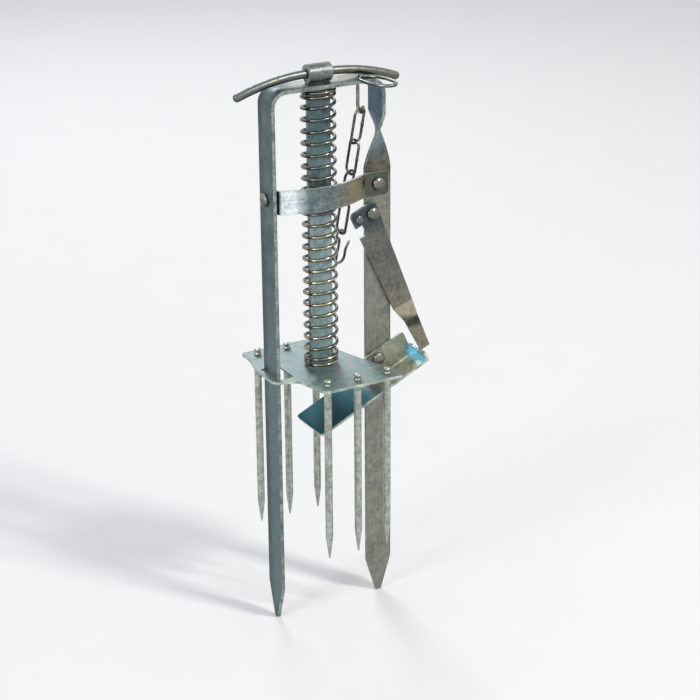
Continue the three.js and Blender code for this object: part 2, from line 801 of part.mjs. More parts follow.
function buildPan() {
  const bottom = -panDrop - panThickness / 2;
  const pan = flatSheet(panOutline(), panThickness).translate(0, 0, bottom);
  const length = webLeft + flangeRight;
  const options = { depth: length, bevelEnabled: false, curveSegments: bendFacets };
  const bent = new THREE.ExtrudeGeometry(bentSection(), options);
  bent.applyMatrix4(new THREE.Matrix4().makeBasis(back, up, right)).translate(-webLeft, 0, 0);
  const depth = 2 * panHalfWidth;
  const trimmed = keepInside(bent, uprightSheet(webOutline(), depth).translate(0, panHalfWidth / 2, 0));
  const lipLow = new THREE.Vector3(flangeRight - panThickness, -panHalfWidth, bottom);
  const lipHigh = new THREE.Vector3(flangeRight, -panThickness, lipHeight - panDrop);
  const hole = roundBar(new THREE.Vector3(), back, rivetRadius + rivetClearance, strapWidth);
  return cut(join([pan, trimmed, boxBetween(lipLow, lipHigh)]), [hole]);
}

// Chain hook: a finger ring that lies on the bridge, a shank through it and an open hook below
function hookCurve() {
  const ringHeight = bridgeTop + gap + hookWireRadius;
  const along = new THREE.Vector3(Math.cos(ringTurn), Math.sin(ringTurn), 0);
  const across = new THREE.Vector3(-along.y, along.x, 0);
  const top = new THREE.Vector3(hookHoleReach, -hookHoleDepth, ringHeight);
  const ringCentre = top.clone().addScaledVector(along, ringNeck + ringHalfLength);
  const sweep = fullTurn - ringOpening;
  const points = Array.from({ length: ringSteps + 1 }, (_, step) => {
    const angle = halfTurn + ringOpening + step * sweep / ringSteps;
    return ringCentre.clone()
      .addScaledVector(along, ringHalfLength * Math.cos(angle))
      .addScaledVector(across, ringHalfWidth * Math.sin(angle));
  });
  const bend = 2 * hookWireRadius;
  points.push(top.clone().addScaledVector(along, bend));
  const corner = bend * ringBendShare;
  points.push(top.clone().addScaledVector(along, corner).addScaledVector(down, corner));
  points.push(top.clone().addScaledVector(down, bend));
  const shankEnd = top.clone().addScaledVector(down, hookShankLength);
  points.push(top.clone().addScaledVector(down, hookShankLength / 2));
  const bendCentre = shankEnd.clone().addScaledVector(front, hookBendRadius);
  for (let step = 0; step <= bendSteps; step += 1) {
    const angle = step * halfTurn / bendSteps;
    points.push(bendCentre.clone()
      .addScaledVector(back, hookBendRadius * Math.cos(angle))
      .addScaledVector(down, hookBendRadius * Math.sin(angle)));
  }
  points.push(bendCentre.clone().addScaledVector(front, hookBendRadius).addScaledVector(up, hookTail));
  return new THREE.CatmullRomCurve3(points, false, "centripetal");
}

// The chain leans from the hook: each link hangs in the last one, turned a quarter about the chain
const chainDown = new THREE.Vector3(chainLeanRight, chainLeanBack, -chainFall).normalize();
const chainAcross = right.clone()
  .addScaledVector(chainDown, -right.dot(chainDown))
  .normalize()
  .applyAxisAngle(chainDown, -chainTurn);
const chainThrough = chainDown.clone().cross(chainAcross);
const linkGrip = 2 * linkWireRadius + gap;
const linkPitch = linkLength - 2 * linkWireRadius - linkGrip;

function chainTop() {
  const ringHeight = bridgeTop + gap + hookWireRadius;
  const hookFloor = ringHeight - hookShankLength - hookBendRadius;
  const rest = hookWireRadius + gap + linkWireRadius;
  return new THREE.Vector3(hookHoleReach, -hookHoleDepth - hookBendRadius, hookFloor + rest);
}

function linkTop(index) {
  return chainTop().addScaledVector(chainDown, index * linkPitch);
}

function buildLink(index) {
  const across = index % 2 === 0 ? chainAcross : chainThrough;
  const through = chainDown.clone().cross(across);
  const endRadius = linkWidth / 2 - linkWireRadius;
  const halfStraight = linkLength / 2 - linkWireRadius - endRadius;
  const middle = linkTop(index).addScaledVector(chainDown, halfStraight + endRadius);
  const rings = [];
  [1, -1].forEach((end) => {
    for (let step = 0; step <= linkArcSteps; step += 1) {
      const angle = step * halfTurn / linkArcSteps;
      const outward = across.clone().multiplyScalar(end * Math.cos(angle))
        .addScaledVector(chainDown, end * Math.sin(angle));
      const centre = middle.clone()
        .addScaledVector(chainDown, end * halfStraight)
        .addScaledVector(outward, endRadius);
      rings.push(roundRing(centre, outward, through, linkWireRadius, wireSides));
    }
  });
  return loft(rings, true);
}

// Safety hook: an eye on the last link, a short shank and an open bend
function catchHookCurve() {
  const top = linkTop(linkCount);
  const eye = top.clone().addScaledVector(chainDown, catchEyeRadius);
  const eyeSweep = fullTurn - catchEyeOpening;
  const ringPoint = (centre, radius, angle) => centre.clone()
    .addScaledVector(chainAcross, radius * Math.sin(angle))
    .addScaledVector(chainDown, radius * Math.cos(angle));
  const points = Array.from({ length: catchEyeSteps }, (_, step) => (
    ringPoint(eye, catchEyeRadius, catchEyeOpening + step * eyeSweep / catchEyeSteps)));
  const shankStart = eye.clone().addScaledVector(chainDown, catchEyeRadius);
  const shankEnd = shankStart.clone().addScaledVector(chainDown, catchShankLength);
  points.push(shankStart.clone().addScaledVector(chainDown, catchHookWireRadius));
  points.push(shankEnd.clone());
  const bend = shankEnd.clone().addScaledVector(chainAcross, catchBendRadius);
  for (let step = 1; step <= bendSteps; step += 1) {
    points.push(ringPoint(bend, catchBendRadius, step * halfTurn / bendSteps - quarterTurn));
  }
  const tip = bend.clone().addScaledVector(chainAcross, catchBendRadius);
  points.push(tip.clone().addScaledVector(chainDown, -catchTipLength / 2));
  points.push(tip.clone()
    .addScaledVector(chainDown, -catchTipLength)
    .addScaledVector(chainAcross, catchTipFlare));
  return new THREE.CatmullRomCurve3(points, false, "centripetal");
}

const leafSteel = steel("#6f7684", 0.4, 1);
const oliveSteel = steel("#8b8170", 0.4, 1);
const tealSteel = steel("#4c6a72", 0.4, 1);
const barSteel = steel("#a7b6b8", 0.35, 1);
const rodSteel = steel("#b3b0a4", 0.35, 1);
const brightSteel = steel("#d2cdbf", 0.25, 1);
const darkSteel = steel("#56585c", 0.4, 1);

addPart("frame_strap", buildFrame(), oliveSteel);
addPart("front_band", buildBand(), leafSteel.clone());

const bandStack = strapThickness + bandThickness + gap;
const bandRightBack = new THREE.Vector3(bandRivetRight.x, strapThickness / 2 + gap, bandMiddle);
const bandLeftInner = strapThickness / 2 + gap + bandThickness + gap - leftLegReach;
const bandLeftBack = new THREE.Vector3(bandLeftInner, bandRivetDepth, bandMiddle);
addPart("band_rivet_left", placeRivet(stackRivet(bandStack), bandLeftBack, left), brightSteel.clone());
addPart("band_rivet_right", placeRivet(stackRivet(bandStack), bandRightBack, front), brightSteel.clone());

addPart("spike_plate", buildPlate(), leafSteel.clone());
spikePlaces().forEach(({ x, y }, index) => {
  const spike = addPart(`spike_${index + 1}`, buildSpike(), rodSteel.clone());
  spike.position.set(x, y, 0);
});
addPart("plunger_bar", buildPlungerBar(), barSteel);
addPart("t_handle", buildHandle(), darkSteel);
addPart("main_spring", buildSpring(), brightSteel.clone());

const armGroup = new THREE.Group();
armGroup.position.copy(armPivot);
armGroup.rotation.y = -armLean;
root.add(armGroup);
addPart("trigger_arm", buildArm(), oliveSteel.clone(), armGroup);
const catchPinSize = {
  grip: armThickness - catchPinRecess + 2 * gap,
  shank: catchPinRadius,
  headRadius: catchPinHeadRadius,
  headHeight: catchPinHeadHeight,
  backRadius: catchPinHeadRadius,
  backHeight: catchPinRecess - gap,
};
const catchPinBack = new THREE.Vector3(-catchPinReach, gap - catchPinRecess, catchPinRise);
addPart("catch_pin", placeRivet(catchPinSize, catchPinBack, front), brightSteel.clone(), armGroup);
const armRivetBack = new THREE.Vector3(armPivot.x, strapThickness / 2 + gap, armPivot.z);
const armStack = strapThickness + gap + armThickness;
addPart("arm_rivet", placeRivet(stackRivet(armStack), armRivetBack, front), brightSteel.clone());

const panGroup = new THREE.Group();
panGroup.position.copy(panPivot);
panGroup.rotation.y = -panSlope;
root.add(panGroup);
addPart("trigger_pan", buildPan(), tealSteel, panGroup);
const panRivetBack = new THREE.Vector3(panPivot.x, strapThickness / 2 + gap, panPivot.z);
const panStack = strapThickness + gap + panThickness;
addPart("pan_rivet", placeRivet(stackRivet(panStack), panRivetBack, front), brightSteel.clone());

addPart("chain_hook", wireAlong(hookCurve(), hookWireRadius, hookSteps), brightSteel.clone());
for (let index = 0; index < linkCount; index += 1) {
  addPart(`chain_link_${index + 1}`, buildLink(index), brightSteel.clone());
}
addPart("safety_hook", wireAlong(catchHookCurve(), catchHookWireRadius, catchSteps), brightSteel.clone());

export default root;
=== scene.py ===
import math

import bpy
from mathutils import Matrix, Vector


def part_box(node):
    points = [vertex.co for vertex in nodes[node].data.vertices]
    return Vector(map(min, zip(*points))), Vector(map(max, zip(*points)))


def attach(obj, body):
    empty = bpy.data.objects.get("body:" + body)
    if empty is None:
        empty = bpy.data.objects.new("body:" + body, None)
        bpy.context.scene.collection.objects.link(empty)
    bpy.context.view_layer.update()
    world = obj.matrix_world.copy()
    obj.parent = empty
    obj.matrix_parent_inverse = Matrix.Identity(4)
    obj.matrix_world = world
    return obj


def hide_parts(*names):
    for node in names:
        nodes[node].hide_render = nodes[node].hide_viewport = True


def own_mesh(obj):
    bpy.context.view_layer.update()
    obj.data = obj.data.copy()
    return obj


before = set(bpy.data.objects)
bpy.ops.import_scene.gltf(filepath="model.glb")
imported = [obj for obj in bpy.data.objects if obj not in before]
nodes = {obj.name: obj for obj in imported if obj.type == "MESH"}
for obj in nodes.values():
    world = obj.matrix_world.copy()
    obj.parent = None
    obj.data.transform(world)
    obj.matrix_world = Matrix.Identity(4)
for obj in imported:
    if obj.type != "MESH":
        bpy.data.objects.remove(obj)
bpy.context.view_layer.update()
scene = bpy.context.scene

MM = 0.001
QUARTER_TURN = math.pi / 2
FULL_TURN = 2 * math.pi
UP = Vector((0, 0, 1))


# Shader values written as sums
class Wire:
    """One value, vector or colour in a node tree."""

    def __init__(self, tree, socket):
        self.tree = tree
        self.socket = socket

    def maths(self, operation, *others):
        node = self.tree.nodes.new("ShaderNodeMath")
        node.operation = operation
        for slot, value in enumerate((self, *others)):
            plug(self.tree, node.inputs[slot], value)
        return Wire(self.tree, node.outputs[0])

    def __add__(self, other):
        return self.maths("ADD", other)

    def __sub__(self, other):
        return self.maths("SUBTRACT", other)

    def __rsub__(self, other):
        return self.maths("MULTIPLY_ADD", -1.0, other)

    def __mul__(self, other):
        return self.maths("MULTIPLY", other)

    __radd__ = __add__
    __rmul__ = __mul__

    def clamp(self):
        node = self.tree.nodes.new("ShaderNodeClamp")
        plug(self.tree, node.inputs[0], self)
        return Wire(self.tree, node.outputs[0])


def plug(tree, socket, value):
    """Links a wire to a socket, or writes a plain value into it."""
    if isinstance(value, Wire):
        tree.links.new(value.socket, socket)
    else:
        socket.default_value = value


# The sockets of a Mix node that take the share and two colours
MIX_SHARE, MIX_FIRST, MIX_SECOND = 0, 6, 7


class NodeSheet:
    """The nodes of a material or of the world."""

    def __init__(self, tree):
        self.tree = tree

    def node(self, kind, inputs=None, **settings):
        """Adds a node, sets it up and fills its sockets; returns its outputs by name."""
        node = self.tree.nodes.new(kind)
        for key, value in settings.items():
            setattr(node, key, value)
        for key, value in (inputs or {}).items():
            plug(self.tree, node.inputs[key], value)
        return {output.name: Wire(self.tree, output) for output in node.outputs if output.enabled}

    def mix(self, share, first, second, blend="MIX"):
        """The first colour where share is 0, and the second blended in where it is 1."""
        first, second = (tone if isinstance(tone, Wire) else (*tone, 1) for tone in (first, second))
        inputs = {MIX_SHARE: share, MIX_FIRST: first, MIX_SECOND: second}
        return self.node("ShaderNodeMix", inputs, data_type="RGBA", blend_type=blend)["Result"]


class Finish(NodeSheet):
    """A material whose nodes start from the piece's own coordinates."""

    def __init__(self, name):
        self.material = bpy.data.materials.new(name)
        self.material.use_nodes = True
        super().__init__(self.material.node_tree)
        self.shader = self.tree.nodes["Principled BSDF"]
        self.place = self.node("ShaderNodeTexCoord")["Object"]
        self.axes = self.node("ShaderNodeSeparateXYZ", {"Vector": self.place})

    def rise(self, value, start, end, most=1.0):
        """0 until value reaches start, then a smooth rise to most where it reaches end."""
        inputs = {"Value": value, "From Min": start, "From Max": end, "To Max": most}
        return self.node("ShaderNodeMapRange", inputs, interpolation_type="SMOOTHSTEP")["Result"]

    def noise(self, size_mm, detail, rough, stretch=(1, 1, 1), turn=(0, 0, 0)):
        """Noise from 0 to 1, whose features are about size_mm across."""
        turned_to = self.node("ShaderNodeMapping", {"Vector": self.place, "Rotation": turn})
        drawn_out = self.node(
            "ShaderNodeMapping", {"Vector": turned_to["Vector"], "Scale": stretch})
        inputs = {
            "Vector": drawn_out["Vector"],
            "Scale": 1 / (size_mm * MM),
            "Detail": detail,
            "Roughness": rough,
        }
        return self.node("ShaderNodeTexNoise", inputs)["Fac"]

    def spread(self, *noise):
        """Noise stretched to use the whole of 0 to 1."""
        return self.rise(self.noise(*noise), 0.36, 0.64)

    def along(self, axis, start_mm, end_mm, wander_mm=5.0):
        """0 before a place on an axis and 1 after the other, with an uneven front."""
        wandered = self.axes[axis] + (self.noise(9, 3, 0.6) - 0.5) * (wander_mm * MM)
        return self.rise(wandered, start_mm * MM, end_mm * MM)

    def facing(self, axis, start, end):
        """0 to 1 as the surface turns along an axis of the piece."""
        normal = self.node("ShaderNodeTexCoord")["Normal"]
        return self.rise(self.node("ShaderNodeSeparateXYZ", {"Vector": normal})[axis], start, end)

    def dimmed(self, colour, level):
        """A colour times a level that changes over the surface."""
        grey = self.node("ShaderNodeCombineColor", {"Red": level, "Green": level, "Blue": level})
        return self.mix(1.0, colour, grey["Color"], "MULTIPLY")

    def scratches(self, width_mm, rolled):
        """Thin nicks in three directions, 1 where there is one."""
        drawn_out = tuple(0.03 if share < 1 else 1 for share in rolled)
        nicks = []
        for number, tilt in enumerate((0.35, 1.2, -0.7)):
            lines = self.noise(width_mm, 1, 0.4, drawn_out, (tilt, tilt * 0.6, tilt))
            thin = self.rise(lines, 0.7, 0.76)
            rare = self.rise(self.noise(8 + 5 * number, 2, 0.5), 0.52, 0.6)
            nicks.append(thin * rare)
        first, *others = nicks
        return sum(others, first).clamp()

    def shine(self, colour, roughness, metallic=1.0, bump=None, depth_mm=0.05):
        """Fills the shader; bump is a height whose full range is depth_mm."""
        inputs = {"Base Color": colour, "Roughness": roughness, "Metallic": metallic}
        if bump is not None:
            relief = {"Strength": 1.0, "Distance": depth_mm * MM, "Height": bump}
            inputs["Normal"] = self.node("ShaderNodeBump", relief)["Normal"]
        for name, value in inputs.items():
            plug(self.tree, self.shader.inputs[name], value)
        return self.material


def srgb(red, green, blue):
    """A colour as it looks on a screen, 0 to 255, turned into linear light."""
    shares = (value / 255 for value in (red, green, blue))
    return tuple(
        share / 12.92 if share <= 0.04045 else ((share + 0.055) / 1.055) ** 2.4 for share in shares)


def shaded(colour, share):
    return tuple(channel * share for channel in colour)


def plated_sheet(
        name, tone, warm, cool, contrast, zones=(), rolled=(1, 1, 0.05), gloss=0.36, bloom=0.35,
        painted_top_light=None, patchy=0.0):
    """Zinc-plated sheet: soft clouds, rolling lines, mottling, pale bloom spots and scratches.

    Each zone is a colour and its stretches, as (axis, start, end) in mm, that lead into it.
    Rolled has less than 1 for the axes along which the rolling lines are drawn out.
    Painted light: what faces upwards, outside the zones, takes a paler colour.
    Patchy is how far the zones' colours thin out in places.
    """
    finish = Finish(name)
    clouds = finish.noise(26, 3, 0.6)
    drift = finish.noise(9, 4, 0.6)
    tint = finish.mix(finish.rise(clouds, 0.5, 0.68, 0.6), tone, warm)
    tint = finish.mix(finish.rise(drift, 0.5, 0.66, 0.5), tint, cool)
    if painted_top_light:
        tint = finish.mix(finish.facing("Z", 0.4, 0.8), tint, painted_top_light)
    for colour, first, *others in zones:
        share = finish.along(*first)
        for stretch in others:
            share = share * finish.along(*stretch)
        if patchy:
            share = share * (1 - patchy * finish.spread(17, 4, 0.6))
        tint = finish.mix(share, tint, colour)
    lines = finish.spread(1.3, 3, 0.6, rolled)
    hair = finish.spread(0.4, 2, 0.5, rolled)
    mottle = finish.spread(2.6, 4, 0.68)
    blots = finish.spread(7, 4, 0.65)
    grain = finish.spread(0.7, 3, 0.6)
    spots = finish.rise(finish.noise(2.4, 5, 0.7), 0.58, 0.7, bloom)
    nicks = finish.scratches(0.4, rolled)
    marks = 0.12 * lines + 0.06 * hair + 0.24 * mottle + 0.14 * blots + 0.14 * grain
    level = (1.02 - 0.35 * contrast) + contrast * marks + 0.6 * spots + 0.4 * nicks
    tint = finish.dimmed(tint, level)
    roughness = gloss + 0.1 * blots + 0.08 * lines + 0.12 * mottle + 0.12 * spots - 0.1 * nicks
    height = 0.25 * hair + 0.2 * grain - 0.2 * nicks + 0.3 * mottle + 0.8 * blots
    return finish.shine(tint, roughness.clamp(), bump=height, depth_mm=0.06)


def sheared_edge(name, tone, shade):
    """The cut edge of plated sheet: brighter, partly as bare steel and partly as a painted
    highlight, with the shear's short marks and dark pits.
    """
    finish = Finish(name)
    marks = finish.spread(1.0, 3, 0.6)
    patches = finish.spread(7, 3, 0.6)
    pits = finish.rise(finish.noise(1.5, 4, 0.7), 0.54, 0.64, 0.75)
    tint = finish.mix(patches, tone, shade)
    tint = finish.dimmed(tint, 0.72 + 0.42 * marks)
    tint = finish.mix(pits, tint, shaded(shade, 0.25))
    return finish.shine(tint, (0.3 + 0.25 * marks).clamp(), metallic=0.45, bump=marks)


def bright_wire(
        name, tone, warm, gloss, under, over=1.0, patch_mm=9, contrast=1.0, warm_along=None,
        coil_mm=None):
    """Drawn and plated wire or rod: a warm cast in patches, draw marks and dull spots.

    The two levels set how bright it is where it faces down, with painted shade, and where it faces
    up, with painted light or shade.
    Warm_along is the stretch, as (axis, start, end) in mm, over which the cast comes in.
    The coil is the radius of a wound wire's middle, inside which it has painted shade.
    """
    finish = Finish(name)
    patches = finish.spread(patch_mm, 3, 0.6)
    if warm_along:
        patches = patches * (0.15 + 0.85 * finish.along(*warm_along))
    marks = finish.spread(1.1, 3, 0.65)
    blots = finish.spread(3.2, 4, 0.65)
    spots = finish.rise(finish.noise(1.8, 4, 0.65), 0.54, 0.66, 0.8)
    tint = finish.mix(patches, tone, warm)
    level = (0.95 - 0.22 * contrast) + contrast * (0.3 * marks + 0.2 * blots)
    tint = finish.dimmed(tint, level)
    tint = finish.mix(spots * 0.5, tint, shaded(tone, 0.45))
    # Painted shade where the wire faces down, and painted light or shade where it faces up
    for start, end, share in ((0.3, -0.6, under), (0.45, 0.9, over)):
        tint = finish.mix(finish.facing("Z", start, end), tint, shaded(tone, share))
    # Painted shade on the inside of a coil
    if coil_mm:
        from_axis = finish.axes["X"] * finish.axes["X"] + finish.axes["Y"] * finish.axes["Y"]
        outer, inner = ((coil_mm + side) ** 2 * MM * MM for side in (0.1, -0.6))
        tint = finish.mix(finish.rise(from_axis, outer, inner, 0.85), tint, shaded(tone, under))
    roughness = gloss + 0.14 * marks + 0.2 * spots
    return finish.shine(tint, roughness.clamp(), bump=0.6 * marks + 0.4 * spots, depth_mm=0.03)


# Modelling steps
def only(piece):
    """Makes a piece the one that is selected and active."""
    bpy.ops.object.select_all(action="DESELECT")
    piece.select_set(True)
    bpy.context.view_layer.objects.active = piece


def edit(piece):
    """Starts editing a piece with all of it selected."""
    only(piece)
    bpy.ops.object.mode_set(mode="EDIT")
    bpy.ops.mesh.select_all(action="SELECT")


def leave():
    bpy.ops.mesh.select_mode(type="VERT")
    bpy.ops.object.mode_set(mode="OBJECT")


def edit_where(piece, kind, chosen):
    """Starts editing with only some vertices or edges selected, by their points in mm."""
    edit(piece)
    bpy.ops.mesh.select_all(action="DESELECT")
    leave()
    points = [vertex.co / MM for vertex in piece.data.vertices]
    if kind == "EDGE":
        for edge in piece.data.edges:
            edge.select = chosen(*(points[end] for end in edge.vertices))
    else:
        for vertex, point in zip(piece.data.vertices, points):
            vertex.select = chosen(point)
    bpy.ops.object.mode_set(mode="EDIT")
    bpy.ops.mesh.select_mode(type=kind)


def apply_all(piece):
    only(piece)
    for modifier in list(piece.modifiers):
        bpy.ops.object.modifier_apply(modifier=modifier.name)


def own_copy(piece, name):
    """A copy with its own mesh."""
    copy = bpy.data.objects.new(name, piece.data.copy())
    scene.collection.objects.link(copy)
    return copy


def drop(piece):
    bpy.data.objects.remove(piece)


def join_triangles(face_degrees):
    """Joins the selected triangles in pairs, where they lie within an angle of each other."""
    bpy.ops.mesh.tris_convert_to_quads(
        face_threshold=math.radians(face_degrees), shape_threshold=math.radians(60))


def merged_copy(node, name):
    """A copy of a frame node whose loose triangles are joined into whole faces."""
    piece = own_copy(nodes[node], name)
    edit(piece)
    bpy.ops.mesh.remove_doubles(threshold=0.01 * MM)
    bpy.ops.mesh.dissolve_limited(angle_limit=math.radians(0.4))
    join_triangles(20)
    leave()
    return piece


def soften(piece, width_mm):
    """Rounds the sharp edges and keeps the flat faces flat."""
    only(piece)
    bpy.ops.object.shade_smooth()
    bevel = piece.modifiers.new("worn_edges", "BEVEL")
    bevel.width = width_mm * MM
    bevel.segments = 3
    bevel.limit_method = "ANGLE"
    bevel.angle_limit = math.radians(28)
    flat = piece.modifiers.new("flat_faces", "WEIGHTED_NORMAL")
    flat.weight = 80
    apply_all(piece)


def turned(name, rings, sides):
    """A turned piece along +Z: a disc, drawn up and resized ring by ring.

    Each ring is its height and radius in mm.
    """
    (height, radius), *others = rings
    bpy.ops.object.select_all(action="DESELECT")
    bpy.ops.mesh.primitive_circle_add(
        vertices=sides, radius=radius * MM, fill_type="NGON", location=(0, 0, height * MM))
    piece = bpy.context.object
    piece.name = name
    bpy.ops.object.transform_apply(location=True)
    edit(piece)
    for next_height, next_radius in others:
        lift = (0, 0, (next_height - height) * MM)
        bpy.ops.mesh.extrude_region_move(TRANSFORM_OT_translate={"value": lift})
        share = next_radius / radius
        bpy.ops.transform.resize(
            value=(share, share, 1), center_override=(0, 0, next_height * MM))
        height, radius = next_height, next_radius
    bpy.ops.mesh.select_all(action="SELECT")
    bpy.ops.mesh.normals_make_consistent(inside=False)
    leave()
    only(piece)
    bpy.ops.object.shade_smooth_by_angle(angle=math.radians(38))
    return piece


def place(piece, origin_mm, direction):
    """Puts a piece modelled along +Z at its place, in its mesh."""
    turn = UP.rotation_difference(direction).to_matrix().to_4x4()
    piece.data.transform(Matrix.Translation(Vector(origin_mm) * MM) @ turn)


def placed_axes(origin_mm, x_axis, y_axis, z_axis):
    """The matrix that puts something at an origin, with its axes in the given directions."""
    turn = Matrix((x_axis, y_axis, z_axis)).transposed().to_4x4()
    return Matrix.Translation(origin_mm * MM) @ turn


def corners(node):
    """The lowest and highest corners of a frame node, in mm."""
    return (Vector(corner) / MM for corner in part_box(node))


def dress(piece, finishes, body, node):
    """Gives a piece its finishes, its body and the node it stands for."""
    piece.data.materials.clear()
    for finish in finishes:
        piece.data.materials.append(finish)
    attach(piece, body)
    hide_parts(node)


# Sizes that finishes and pieces share, in mm
SPRING_RADIUS, SPRING_WIRE = 12.35, 2.3
COIL_RADIUS = SPRING_RADIUS - SPRING_WIRE / 2


# Finishes
# The next two colours are painted shade, on the frame's left side and on the top of its right leg
left_side_painted_shade = srgb(73, 98, 106)
upper_right_painted_shade = srgb(62, 87, 105)
leaf = srgb(128, 144, 145)
warm_grey = srgb(134, 134, 125)
olive = srgb(120, 115, 100)
# Painted shade at the frame's twist
twist_foot_painted_shade = srgb(84, 80, 70)
pale_edge = srgb(158, 168, 160)
green_edge = srgb(108, 124, 120)
straw = srgb(206, 191, 156)
nickel = srgb(110, 113, 108)

ROLLED_SIDEWAYS = (0.05, 1, 1)
ROLLED_LEVEL = (0.05, 0.05, 1)

frame_steel = plated_sheet(
    "frame_steel", warm_grey, warm=olive, cool=srgb(112, 118, 117), contrast=1.4, gloss=0.3,
    patchy=0.4, zones=(
        # Painted shade on the left side, dark slate blue and paler towards its foot, and painted
        # shadow along its rear edge
        (left_side_painted_shade, ("X", 5, -25)),
        (srgb(98, 118, 120), ("X", 5, -25), ("Z", 75, 10)),
        (srgb(70, 80, 84), ("X", 5, -25), ("Y", 0, 9)),
        # Painted reflection and shade on the right leg from its twist up and on its top, and
        # painted shade at the twist's foot
        (srgb(98, 124, 134), ("X", 28, 34), ("Z", 140, 150)),
        (upper_right_painted_shade, ("X", 28, 34), ("Z", 156, 168)),
        (twist_foot_painted_shade, ("X", 28, 34), ("Z", 156, 146), ("Z", 126, 136)),
        # Middle of the bridge
        (srgb(150, 156, 150), ("X", 26, 14), ("X", -26, -14), ("Z", 190, 196)),
    ))
frame_edge = sheared_edge("frame_edge", pale_edge, green_edge)
plate_steel = plated_sheet(
    "plate_steel", leaf, warm=srgb(138, 134, 138), cool=srgb(106, 130, 138), contrast=1.3,
    rolled=ROLLED_SIDEWAYS, bloom=0.45)
plate_edge = sheared_edge("plate_edge", srgb(204, 212, 196), srgb(140, 158, 152))
band_steel = plated_sheet(
    "band_steel", srgb(112, 126, 130), warm=srgb(86, 98, 102), cool=srgb(140, 152, 152),
    contrast=1.5, rolled=ROLLED_LEVEL, gloss=0.14, bloom=0.3, zones=(
        # Painted highlight on the left part, painted shade in the left bend, painted reflection on
        # the warm right part, and painted shade in the right bend
        (srgb(226, 236, 240), ("X", -14, -28)),
        (srgb(60, 80, 90), ("X", -33.2, -35.4, 1)),
        (srgb(128, 120, 94), ("X", -4, 26)),
        (srgb(84, 86, 81), ("X", 32, 35)),
    ))
arm_steel = plated_sheet(
    "arm_steel", srgb(106, 107, 102), warm=srgb(112, 107, 92), cool=srgb(88, 94, 96),
    contrast=1.7, zones=(
        # Upper end, lower part and the shade under its joggle
        (srgb(72, 80, 83), ("Z", 88, 104)),
        (srgb(128, 123, 109), ("Z", 60, 34)),
        (srgb(70, 70, 64), ("Z", 31, 27), ("Z", 19, 23)),
    ))
# The pan's upward faces get painted light, a paler colour
pan_steel = plated_sheet(
    "pan_steel", srgb(158, 158, 144), warm=srgb(146, 138, 118), cool=srgb(124, 134, 132),
    contrast=1.5, rolled=ROLLED_SIDEWAYS, painted_top_light=srgb(174, 174, 158), zones=(
        # Painted reflection of something blue: dark, with painted shade, on the blade, and bright
        # on the lip
        (srgb(32, 80, 92), ("X", 48, 26)),
        (srgb(176, 224, 240), ("X", 65, 71, 14)),
    ))
bar_steel = plated_sheet(
    "bar_steel", srgb(150, 171, 172), warm=srgb(146, 156, 150), cool=srgb(116, 144, 154),
    contrast=1.7, gloss=0.3, zones=(
        # Upper half, and what is just under the bridge
        (srgb(94, 118, 124), ("Z", 110, 175)),
        (srgb(112, 117, 115), ("Z", 184, 198)),
    ))
# Painted shade on each wire's underside, painted shade on the spring's top and inside, and a
# painted highlight on the rivets' tops
handle_steel = bright_wire(
    "handle_steel", srgb(104, 112, 112), warm=srgb(118, 114, 100), gloss=0.26, under=0.6)
spring_steel = bright_wire(
    "spring_steel", nickel, warm=straw, gloss=0.12, under=0.2, over=0.42, patch_mm=14,
    warm_along=("Z", 170, 60), coil_mm=COIL_RADIUS)
wire_steel = bright_wire(
    "wire_steel", srgb(98, 106, 106), warm=srgb(172, 166, 144), gloss=0.12, under=0.35)
spike_steel = bright_wire(
    "spike_steel", srgb(184, 188, 178), warm=srgb(132, 142, 132), gloss=0.28, under=0.9,
    patch_mm=5, contrast=1.6)
rivet_steel = bright_wire(
    "rivet_steel", srgb(116, 124, 124), warm=srgb(142, 136, 114), gloss=0.1, under=0.45,
    over=1.5, patch_mm=4)


# Sheet pieces: a cut edge is known by how squarely it faces one way, from 0 to 1
STRAP_WEAR, SHEET_WEAR, PAN_WEAR = 0.45, 0.4, 0.35
CUT_FACING, PAN_FACING, STRAP_FACING, ARM_END_FACING, PLATE_FACING = 0.35, 0.5, 0.6, 0.9, 0.75


def finish_sheet(piece, node, body, finishes, is_cut, wear_mm):
    """Wears a sheet piece's edges, and gives the cut ones the second finish."""
    soften(piece, wear_mm)
    dress(piece, finishes, body, node)
    for face in piece.data.polygons:
        face.material_index = 1 if is_cut(face.center / MM, face.normal) else 0


def sheet_piece(node, name, body, finishes, is_cut, wear_mm=SHEET_WEAR):
    finish_sheet(merged_copy(node, name), node, body, finishes, is_cut, wear_mm)


# Frame strap: its width runs front to back, and turns sideways down the right leg's twist
RIGHT_LEG_FROM = 20
TWIST_TOP, TWIST_BOTTOM, TWIST_MARGIN = 177.0, 139.0, 0.1
STRAP_WIDTH = 20.0
LEVEL_WITHIN = 0.02


def strap_across(point):
    if point.x < RIGHT_LEG_FROM or point.z > TWIST_TOP:
        return Vector((0, 1, 0))
    turn = min((TWIST_TOP - point.z) / (TWIST_TOP - TWIST_BOTTOM), 1) * QUARTER_TURN
    return Vector((math.sin(turn), math.cos(turn), 0))


def strap_cut(point, normal):
    return abs(normal.dot(strap_across(point))) > STRAP_FACING


def crosses_twist(start, end):
    """Whether an edge of the right leg's twist runs level over at least half the strap."""
    in_twist = TWIST_BOTTOM - TWIST_MARGIN < start.z < TWIST_TOP + TWIST_MARGIN
    is_level = abs(start.z - end.z) < LEVEL_WITHIN
    is_wide = (end - start).length > STRAP_WIDTH / 2
    return start.x > RIGHT_LEG_FROM and in_twist and is_level and is_wide


